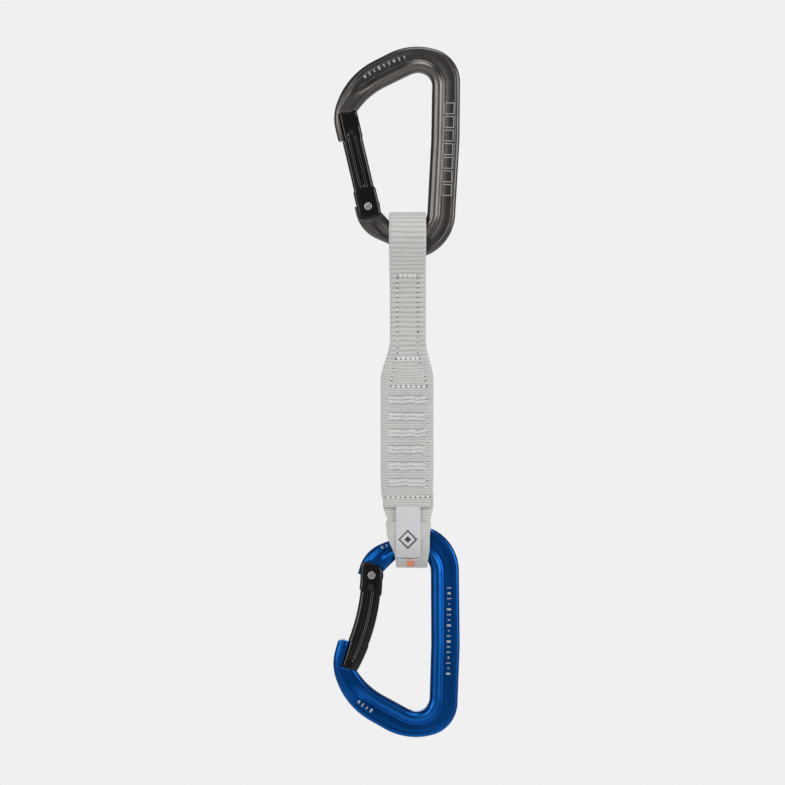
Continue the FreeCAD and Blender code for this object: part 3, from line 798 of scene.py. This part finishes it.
loop_axis = LOOP_TOP - LOOP_OUT + 0.5
radius = LOOP_OUT - PLY / 2
half_gap = PLY / 2 + 0.05
tangent = math.asin(min(1.0, (radius - half_gap) / (loop_axis - THROAT_Z)))
arc = [Vector((-radius * math.cos(a), loop_axis + radius * math.sin(a)))
       for a in (-tangent + (math.pi + 2 * tangent) * k / 60 for k in range(61))]
upper_path = eased([Vector((-half_gap, NECK_SPLIT)), Vector((-half_gap, THROAT_Z))] + arc
                   + [Vector((half_gap, THROAT_Z)), Vector((half_gap, NECK_SPLIT))], 0.3, 60)


def upper_ribs(travelled, spot, x):
    """The loop's ribs, so placed that they meet the grip's at the neck."""
    phase, depth = loop_ribs(travelled, spot, x)
    return phase - (NECK_SPLIT / RIB_PITCH) % 1.0, depth


rows, shades = tape(upper_path, PLY, sling_edges, seam_pull, upper_ribs)
upper = web_piece("upper_loop_tape", rows, shades,
                  TWIST_Z + BLEND_HALF, TWIST_Z - BLEND_HALF)
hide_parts("upper_loop_webbing")

HEM_FLARE = (6.0, 0.6)      # height, and how far each ply leans out over it
grip_nodes = {-1: ("neck_front_webbing", "grip_front_webbing"),
              1: ("neck_back_webbing", "grip_back_webbing")}
core_low, core_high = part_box("grip_core_webbing")
core_half = (core_high.y - core_low.y) / 2 / MM
for side, nodes in grip_nodes.items():
    gap = side * half_gap
    wide = side * (half_gap + core_half)
    line = [Vector((gap, NECK_SPLIT)), Vector((gap, -136.0)), Vector((wide, -150.0)),
            Vector((wide, HEM_Z + HEM_FLARE[0])), Vector((wide + side * HEM_FLARE[1], HEM_Z))]
    if side > 0:
        line.reverse()
    path = eased(line, 0.22, 80)
    rows, shades = tape(path, PLY, sling_edges, seam_pull, grip_ribs)
    ply = web_piece("grip_front_tape" if side < 0 else "grip_back_tape", rows, shades,
                    FLEX_Z + BLEND_HALF, FLEX_Z - BLEND_HALF)
    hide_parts(*nodes)
core_path = eased([Vector((0, -150.0)), Vector((0, HEM_Z + 1.0))], 0.6, 0)
rows, shades = tape(core_path, 2 * core_half, lambda t, s: (SLING_X - 9.5, SLING_X + 9.5),
                    unsewn, loop_ribs, across=12)
core = piece("grip_core_tape", wrapped(rows, caps=True), web.material)
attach(core, "grip")
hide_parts("grip_core_webbing")


def keeper_edges(travelled, spot):
    """The rubber sleeve tapers from its mouth down to its foot."""
    drop = KEEPER_TOP - spot.y
    wave = 0.25 * waver(0.0, spot.y * 0.25, 2.0)
    left = -16.7 + 0.08 * drop + 3.0 * smoothstep(5.5, 16.5, drop) + wave
    right = 5.2 - 0.7 * smoothstep(0.0, 8.0, drop) - 0.9 * smoothstep(11.0, 20.0, drop) + wave * 0.6
    mouth = 0.5 - min(0.5, drop * 0.9) if 0 <= drop < 0.6 else 0.0
    return left + mouth, right - mouth


def lower_edges(travelled, spot):
    """The loop's webbing narrows below the hem, and fills the sleeve."""
    if spot.y > KEEPER_TOP:
        share = smoothstep(0.0, 1.0, (HEM_Z + 1.0 - spot.y) / (HEM_Z + 1.0 - KEEPER_TOP))
        return -17.9 + 2.3 * share, 6.2 - 1.5 * share
    left, right = keeper_edges(travelled, spot)
    return max(left + 0.7, -15.6), min(right - 0.7, 4.7)


KEEPER_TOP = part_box("keeper")[1].z / MM
lower_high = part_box("lower_loop_webbing")[1]
LOWER_PLY = 1.6
lower_axis = hinges["keeper_rock"]["pos_m"][2] / MM
lower_radius = lower_high.y / MM - LOWER_PLY / 2
lower_throat = HEM_Z + 1.0
low_half = LOWER_PLY / 2 + 0.05
lean = math.asin(min(1.0, (lower_radius - low_half) / (lower_throat - lower_axis)))
LOWER_FLAT = 0.70          # the loop's foot is flatter than a half circle
arc = [Vector((-lower_radius * math.cos(a),
               lower_axis - lower_radius * math.sin(a) * (LOWER_FLAT if math.sin(a) > 0 else 1.0)))
       for a in (-lean + (math.pi + 2 * lean) * k / 60 for k in range(61))]
lower_path = eased([Vector((-low_half, HEM_Z + 7.0)), Vector((-low_half, lower_throat))] + arc
                   + [Vector((low_half, lower_throat)), Vector((low_half, HEM_Z + 7.0))], 0.3, 40)
rows, shades = tape(lower_path, LOWER_PLY, lower_edges, unsewn,
                    lambda t, s, x: (t / 1.5 + 0.1 * waver(x * 0.2, t * 0.1, 4.0), 0.22))
lower = web_piece("lower_loop_tape", rows, shades,
                  HEM_Z + 0.5, HEM_HINGE_Z - 3.0)
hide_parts("lower_loop_webbing")

# ------------------------------------------------- stitching and bar tacks
# Bonded thread, sewn through both plies: lock-stitched seams in the
# webbing's colour, and six dense white zigzag bar tacks across the grip.
thread = Finish("sewing_thread", Roughness=0.6, Sheen_Weight=0.2)
twist = thread.grain(5200.0, 2.0)
thread.tints(twist, (0.66, 0.67, 0.64), (0.84, 0.84, 0.82))
thread.bumps(0.4, 0.0001, twist)
tack_thread = Finish("bar_tack_thread", Roughness=0.5, Sheen_Weight=0.2)
strand = tack_thread.grain(5200.0, 2.0)
tack_thread.tints(strand, (0.72, 0.73, 0.71), (0.88, 0.88, 0.87))
tack_thread.bumps(0.4, 0.0001, strand)
# Dark dots at the needle holes between stitches: the painted shade of the holes.
needle_hole_shade = Finish("needle_hole_shade", Roughness=0.95)
needle_hole_shade.tints(needle_hole_shade.grain(3000.0), (0.10, 0.10, 0.095), (0.20, 0.20, 0.19))


def face_reach(z):
    """How far the sling's outer face stands from its middle plane at a height."""
    flare = HEM_FLARE[1] * max(0.0, (HEM_Z + HEM_FLARE[0] - z) / HEM_FLARE[0])
    return half_gap + PLY / 2 + core_half * smoothstep(0.0, 1.0, (-136.0 - z) / 14.0) + flare


def stitch(places, start, end, radius, side, lift, flat=0.7):
    """Adds one visible stitch between two places (x, z) on a face of the sling."""
    a, b = Vector(start), Vector(end)
    middle, run = (a + b) / 2, b - a
    depth = face_reach(middle.y) - seam_pull(middle.x, middle, 1.0) + lift
    turn = Matrix.Rotation(-math.atan2(run.y, run.x), 4, "Y")
    places.append(Matrix.Translation(MM * Vector((middle.x, side * depth, middle.y))) @ turn
                  @ Matrix.Diagonal((run.length / 2 + radius * 0.5, radius * flat, radius, 1)))


def beads(places):
    """Small rounded beads at many places, made a handful at a time."""
    whole = bmesh.new()
    for first in range(0, len(places), 40):
        few = bmesh.new()
        for place in places[first:first + 40]:
            bmesh.ops.create_uvsphere(few, u_segments=8, v_segments=5, radius=MM, matrix=place)
        mesh = bpy.data.meshes.new("beads")
        few.to_mesh(mesh)
        few.free()
        whole.from_mesh(mesh)
        bpy.data.meshes.remove(mesh)
    return whole


def sew(threads, holes, start, end, pitch, radius, gap, hole):
    """A seam on both faces: stitches with a dark dot of painted needle-hole shade between each pair."""
    a, b = Vector(start), Vector(end)
    count = max(1, round((b - a).length / pitch))
    along = (b - a) / count
    for side in (-1, 1):
        for k in range(count):
            jitter = 0.06 * waver(a.x + k * 1.7, a.y, side)
            stitch(threads, a + along * (k + gap / 2 + jitter), a + along * (k + 1 - gap / 2 + jitter),
                   radius, side, 0.02)
        for k in range(count + 1):
            spot = a + along * (k + 0.05 * waver(a.y + k * 2.1, a.x, side))
            cross = Vector((-along.y, along.x)).normalized() * hole[1]
            size = 1.0 + 0.5 * waver(a.x * 3.0 + k * 3.3, a.y, side)
            stitch(holes, spot - cross, spot + cross, hole[0] * size, side, -0.02, 0.5)


def sewn(name, places, finish, bodies, start, end, nodes, colour):
    """One piece of stitching, its mesh baked in place, with the nodes it stands for hidden."""
    obj = piece(name, beads(places), finish.material)
    start * MM
    end * MM
    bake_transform(obj)
    if nodes:
        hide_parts(*nodes)


upper_bodies = (("upper_sling", "neck"), TWIST_Z + BLEND_HALF, TWIST_Z - BLEND_HALF)
lower_bodies = (("neck", "grip"), FLEX_Z + BLEND_HALF, FLEX_Z - BLEND_HALF)
threads, holes = [], []
for x in NECK_SEAMS:
    sew(threads, holes, (x, ROW_TOP - 1.4), (x, NECK_SPLIT + 0.2), 2.36, 0.26, 0.30, (0.30, 0.30))
sew(threads, holes, (-10.6, ROW_TOP), (-1.7, ROW_TOP), 2.2, 0.85, 0.34, (0.24, 1.15))
sewn("upper_seams", threads, thread, *upper_bodies, ("upper_loop_stitching",), "thread")
sewn("upper_needle_hole_shade", holes, needle_hole_shade, *upper_bodies, (), "thread")
threads, holes, tacks = [], [], []
for x in NECK_SEAMS:
    sew(threads, holes, (x, NECK_SPLIT - 0.4), (x, -133.2), 2.36, 0.26, 0.30, (0.32, 0.34))
sew(tacks, holes, (-11.6, ROW_NECK), (-0.4, ROW_NECK), 2.25, 0.58, 0.34, (0.24, 0.75))
for start, end in (((-12.5, -138.4), (-14.2, -148.4)), ((-0.1, -138.4), (3.1, -148.4))):
    sew(threads, holes, start, end, 2.2, 0.26, 0.34, (0.30, 0.36))
sew(tacks, holes, (-14.2, ROW_GRIP), (2.8, ROW_GRIP), 2.35, 0.50, 0.34, (0.26, 0.60))
sew(threads, holes, (EDGE_SEAM_X, -150.4), (EDGE_SEAM_X + 0.2, -200.6), 2.3, 0.28, 0.34, (0.30, 0.48))
sew(threads, holes, (-16.6, ROW_HEM), (4.6, ROW_HEM + 0.6), 2.25, 0.42, 0.36, (0.28, 0.50))
step = (TACK_X[1] - TACK_X[0]) / TACK_STITCHES
for level in TACKS:
    for side in (-1, 1):
        for k in range(TACK_STITCHES):
            x = TACK_X[0] + step * k
            z = level + 0.5 * waver(x * 0.30, level, side)
            high = 0.82 + 0.10 * waver(x * 1.3, level, 7.0)
            for row in (-0.80, 0.80):
                for sign, shift in ((1, 0.0), (-1, step / 2)):
                    low, top = z + row - sign * high, z + row + sign * high
                    lift = 0.16 + 0.07 * waver(x * 2.0, level + row, sign)
                    stitch(tacks, (x + shift, low), (x + shift + step / 2, top), 0.20, side, lift, 0.9)
            # Dark dots of painted needle-hole shade along both edges of the tack.
            for edge in (-2.15, 2.15):
                stitch(holes, (x, z + edge), (x + 0.02, z + edge), 0.21, side, 0.0, 0.5)
sewn("grip_seams", threads, thread, *lower_bodies, ("neck_stitching", "grip_edge_stitching"), "thread")
sewn("grip_needle_hole_shade", holes, needle_hole_shade, *lower_bodies, (), "thread")
sewn("grip_bar_tacks_sewn", tacks, tack_thread, *lower_bodies, ("grip_bar_tacks",), "bar_tack_thread")

# --------------------------------------------------------- rubber keeper
# A moulded rubber sleeve, pale and slightly clear, stretched round the lower
# loop so that the carabiner can't turn over in it.
rubber = Finish("keeper_rubber", Roughness=0.5, Subsurface_Weight=0.25, Subsurface_Scale=0.002,
                Subsurface_Radius=(1.0, 0.95, 0.85), Coat_Weight=0.08)
bloom = rubber.grain(180.0, 3.0)
dust = rubber.grain(2400.0, 2.0)
rubber.tints(bloom * 0.7 + dust * 0.3, (0.42, 0.43, 0.405), (0.60, 0.605, 0.57))
rubber.bumps(0.25, 0.0003, bloom * 0.7 + dust * 0.3)
KEEPER_THICK = 0.9
keeper_off = LOWER_PLY / 2 + KEEPER_THICK / 2 + 0.08
keeper_path = []
for i, spot in enumerate(lower_path):
    a, b = lower_path[max(0, i - 1)], lower_path[min(len(lower_path) - 1, i + 1)]
    normal = Vector((-(b - a).normalized().y, (b - a).normalized().x))
    far = max((spot + normal * keeper_off, spot - normal * keeper_off),
              key=lambda p: (p - Vector((0, lower_axis))).length)
    if far.y < KEEPER_TOP:
        keeper_path.append(far)


def keeper_sink(x, spot, face):
    """Soft dents in the sleeve's face, and a raised lip at its mouth."""
    lip = 0.18 * math.exp(-((KEEPER_TOP - spot.y) / 0.8) ** 2)
    return 0.10 * waver(x * 0.25, spot.y * 0.3, spot.x * 0.2) - lip


rows, shades = tape(keeper_path, KEEPER_THICK, keeper_edges, keeper_sink, ribless, across=36)
keeper = piece("keeper_sleeve", wrapped(rows, caps=True), rubber.material)
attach(keeper, "lower_loop")
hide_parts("keeper")

# ------------------------------------------------------- label and pull tab
# A woven satin label with a plain printed diamond, tucked under the hem and
# sewn down at its foot, and a short orange tape tab that shows below it.
satin = Finish("woven_label", Roughness=0.55, Sheen_Weight=0.3)
label_across, label_along = satin.weave()
satin_warp = (label_across * (2 * math.pi / 0.00036)).sine()
satin_weft = (label_along * (2 * math.pi / 0.00042)).sine()
cloth = satin.grain(900.0, 3.0)
satin.tints(cloth, (0.50, 0.503, 0.515), (0.64, 0.645, 0.66))
satin.bumps(0.35, 0.00006, satin_warp * satin_weft + cloth)
LABEL_X = (-12.2, 0.45)
LABEL_TOP, LABEL_FOOT = HEM_Z + 3.0, -231.0
LABEL_THICK = 0.45
UNDER_LABEL = 0.22
front_line = sorted(((p.y, p.x) for p in keeper_path if p.x < 0 and p.y > lower_axis - 8.5),
                    reverse=True)


def keeper_face(z):
    """How far forward the sleeve's face stands at a height."""
    top_z, top_y = front_line[0]
    if z >= top_z:
        share = min(1.0, (z - top_z) / (LABEL_TOP - top_z))
        return (top_y - KEEPER_THICK / 2) * (1 - share) + (-low_half - LOWER_PLY / 2 + 0.7) * share
    for (z0, y0), (z1, y1) in zip(front_line, front_line[1:]):
        if z1 <= z <= z0:
            return y0 + (y1 - y0) * (z0 - z) / (z0 - z1) - KEEPER_THICK / 2
    return front_line[-1][1] - KEEPER_THICK / 2


def label_edges(travelled, spot):
    """The label's edges, cut not quite straight."""
    return LABEL_X[0] + 0.12 * waver(0, spot.y * 0.3, 1), LABEL_X[1] + 0.1 * waver(0, spot.y * 0.3, 7)


def label_sink(x, spot, face):
    """Soft waves in the label, and a dip along its row of stitches."""
    dip = 0.25 * math.exp(-((spot.y - LABEL_FOOT - 1.0) / 0.5) ** 2)
    return 0.12 * waver(x * 0.3, spot.y * 0.22, 0.5) + dip


label_path = eased([Vector((keeper_face(z) - LABEL_THICK / 2 - UNDER_LABEL, z))
                    for z in (LABEL_TOP + (LABEL_FOOT - LABEL_TOP) * k / 60 for k in range(61))], 0.3, 12)
rows, shades = tape(label_path, LABEL_THICK, label_edges, label_sink, ribless)
label = piece("woven_label_strip", wrapped(rows, caps=True), satin.material)
(HEM_HINGE_Z - 3.0) * MM
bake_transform(label)
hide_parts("label")

ink = Finish("printed_ink", Roughness=0.6)
ink.tints(ink.grain(2000.0), (0.012, 0.012, 0.012), (0.05, 0.05, 0.05))
MARK_X, MARK_Z, MARK_R = -6.1, -221.0, 4.4


def label_front(z):
    """The label's front face at a height."""
    return min(label_path, key=lambda p: abs(p.y - z)).x - LABEL_THICK / 2


def printed(bm, outline_in, outline_out):
    """A flat printed shape between two closed outlines on the label's face."""
    shape = wrapped([[Vector((x, label_front(z) - 0.16, z)) * MM for x, z in line]
                     for line in (outline_in, outline_out)])
    mesh = bpy.data.meshes.new("print")
    shape.to_mesh(mesh)
    bm.from_mesh(mesh)
    shape.free()
    bpy.data.meshes.remove(mesh)


def diamond(size):
    """Outline of a square on its corner, about the mark's middle."""
    spokes = [math.pi / 2 * k for k in range(4)]
    corners = [Vector((MARK_X + size * math.cos(a), MARK_Z + size * math.sin(a))) for a in spokes]
    return [corners[k].lerp(corners[(k + 1) % 4], j / 10) for k in range(4) for j in range(10)]


prints = bmesh.new()
printed(prints, diamond(MARK_R - 0.75), diamond(MARK_R))
printed(prints, diamond(0.02), diamond(1.5))
bmesh.ops.recalc_face_normals(prints, faces=prints.faces)
emblem = piece("label_print", prints, ink.material)
hold = emblem.modifiers.new("ink", "SOLIDIFY")
hold.thickness, hold.offset = 0.00005, 0.0
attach(emblem, "lower_loop")

# The label's row of stitches uses the needle holes' dark finish.
row_z = LABEL_FOOT + 1.0
label_row = piece("label_stitches", beads([
    Matrix.Translation(MM * Vector((LABEL_X[0] + 1.4 + k * 1.4, label_front(row_z) + 0.12, row_z)))
    @ Matrix.Diagonal((0.62, 0.2, 0.2, 1)) for k in range(8)]), needle_hole_shade.material)
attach(label_row, "lower_loop")

orange = Finish("orange_tape", Roughness=0.7, Sheen_Weight=0.2)
tab_grain = orange.grain(1500.0, 3.0)
orange.tints(tab_grain, (0.70, 0.17, 0.045), (0.85, 0.30, 0.12))
orange.bumps(0.4, 0.0001, tab_grain)
TAB_TOP, TAB_FOOT = -229.4, -233.3
tab_path = []
for a, b in zip(keeper_path, keeper_path[1:]):
    along = (b - a).normalized()
    out = Vector((along.y, -along.x))
    out *= math.copysign(1.0, out.dot(a - Vector((0, lower_axis))))
    if a.x < 0 and TAB_FOOT < a.y < TAB_TOP:
        tab_path.append(a + out * (KEEPER_THICK / 2 + 0.22))
tab_path = eased(tab_path, 0.25, 2)
rows, shades = tape(tab_path, 0.4, lambda t, s: (-6.9, -2.7), unsewn,
                    lambda t, s, x: (t / 0.8, 0.05), across=10)
tab = piece("orange_tab", wrapped(rows, caps=True), orange.material)
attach(tab, "lower_loop")
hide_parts("pull_tab")

# ------------------------------------------------ studio, light and camera
# A pale, faintly glowing floor well below the draw, a plain pale world, soft
# lights above, on both sides, at the front and behind, and the camera level
# with the middle of the sling.
floor_bm = bmesh.new()
bmesh.ops.create_circle(floor_bm, cap_ends=True, segments=96, radius=6.0)
floor = piece("studio_floor", floor_bm)
floor.location = (0, 0, -1.2)
paper = Finish("studio_paper", Roughness=0.9, Emission_Color=(0.87, 0.87, 0.87, 1), Emission_Strength=0.40)
paper.tints(paper.grain(3.0), (0.80, 0.80, 0.80), (0.84, 0.84, 0.84))
floor.data.materials.append(paper.material)

world = bpy.data.worlds.new("studio")
bpy.context.scene.world = world
world.use_nodes = True
tree = world.node_tree
backdrop = tree.nodes["Background"]
seen = tree.nodes.new("ShaderNodeLightPath")
mix = tree.nodes.new("ShaderNodeMixShader")
room = tree.nodes.new("ShaderNodeBackground")
backdrop.inputs["Color"].default_value = (0.871, 0.871, 0.871, 1)
room.inputs["Color"].default_value = (0.20, 0.20, 0.20, 1)
tree.links.new(seen.outputs["Is Camera Ray"], mix.inputs[0])
tree.links.new(room.outputs[0], mix.inputs[1])
tree.links.new(backdrop.outputs[0], mix.inputs[2])
tree.links.new(mix.outputs[0], tree.nodes["World Output"].inputs["Surface"])

CENTRE = Vector((-0.0133, 0.0, -0.1519))
for name, place, size, power in (("overhead", (0.2, -0.35, 1.4), 0.9, 9.7),
                                 ("right", (1.3, -0.60, 0.25), 0.9, 10.4),
                                 ("left", (-1.25, -0.80, 0.25), 0.8, 6.9),
                                 ("window", (-0.55, -1.45, 0.50), 0.5, 3.4),
                                 ("behind", (-0.3, 1.6, 0.5), 1.0, 5.5)):
    lamp = bpy.data.lights.new(name, "AREA")
    lamp.size, lamp.energy = size, power
    holder = bpy.data.objects.new(name, lamp)
    holder.location = CENTRE + Vector(place)
    holder.rotation_euler = (CENTRE - holder.location).to_track_quat("-Z", "Y").to_euler()
    holder.visible_camera = False
    bpy.context.collection.objects.link(holder)

VIEW_WIDTH = 0.3728
lens = bpy.data.cameras.new("camera")
lens.lens, lens.sensor_width = 135.0, 36.0
camera = bpy.data.objects.new("camera", lens)
camera.location = CENTRE + Vector((0, -VIEW_WIDTH * lens.lens / lens.sensor_width, 0))
camera.rotation_euler = (math.pi / 2, 0, 0)
bpy.context.collection.objects.link(camera)
bpy.context.scene.camera = camera
bpy.context.scene.view_settings.view_transform = "Standard"
